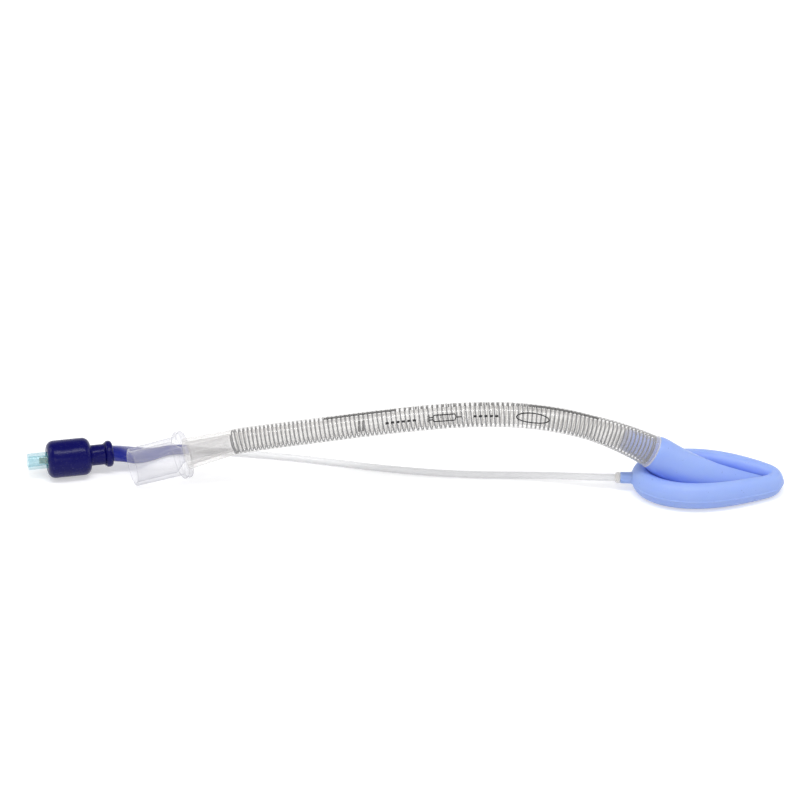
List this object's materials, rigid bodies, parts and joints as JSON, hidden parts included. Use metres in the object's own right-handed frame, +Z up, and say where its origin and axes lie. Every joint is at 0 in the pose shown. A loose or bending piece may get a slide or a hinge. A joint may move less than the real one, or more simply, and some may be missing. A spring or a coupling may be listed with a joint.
{
  "type": "laryngeal mask airway",
  "caption": "Curved clear breathing tube reinforced with wire, with an inflatable blue oval mask, a conical connector and a thin inflation line to a pilot balloon and check valve.",
  "frame": {"origin": "on the surface that the airway lies on, midway between the connector's rim and the cuff's tip", "axes": "+X along the airway towards the mask's tip, +Z up"},
  "size_m": [0.2957, 0.0374, 0.0397],
  "materials": {
    "clear_silicone": "clear, smooth and slightly tacky",
    "spring_steel": "drawn wire",
    "clear_polymer": "clear, polished",
    "blue_silicone": "translucent, satin",
    "clear_adhesive": "clear, glossy",
    "balloon_film": "translucent film, glossy",
    "dark_grip": "soft, satin",
    "turquoise_polymer": "moulded, slightly translucent",
    "tan_polymer": "moulded",
    "seal_rubber": "moulded"
  },
  "bodies": {
    "airway": {"airway_tube": "clear_silicone", "reinforcing_coil": "spring_steel", "airway_connector": "clear_polymer", "cuff": "blue_silicone", "mask_bowl": "blue_silicone", "collar_bead": "clear_adhesive", "inflation_line": "clear_silicone", "port_bead": "clear_adhesive", "pilot_balloon": "balloon_film", "pilot_grip": "dark_grip", "valve_body": "turquoise_polymer", "valve_spring": "spring_steel", "spring_retainer": "turquoise_polymer"},
    "valve_plunger": {"valve_stem": "tan_polymer", "stem_seal": "seal_rubber"}
  },
  "joints": [
    {"name": "valve_push", "type": "slide", "parent": "airway", "child": "valve_plunger", "axis": [0.9799, 0.1994, 0], "range_m": [0, 0.0014], "stiffness_N_per_m": 300, "springref_m": -0.002, "deforming": ["valve_spring"]}
  ]
}
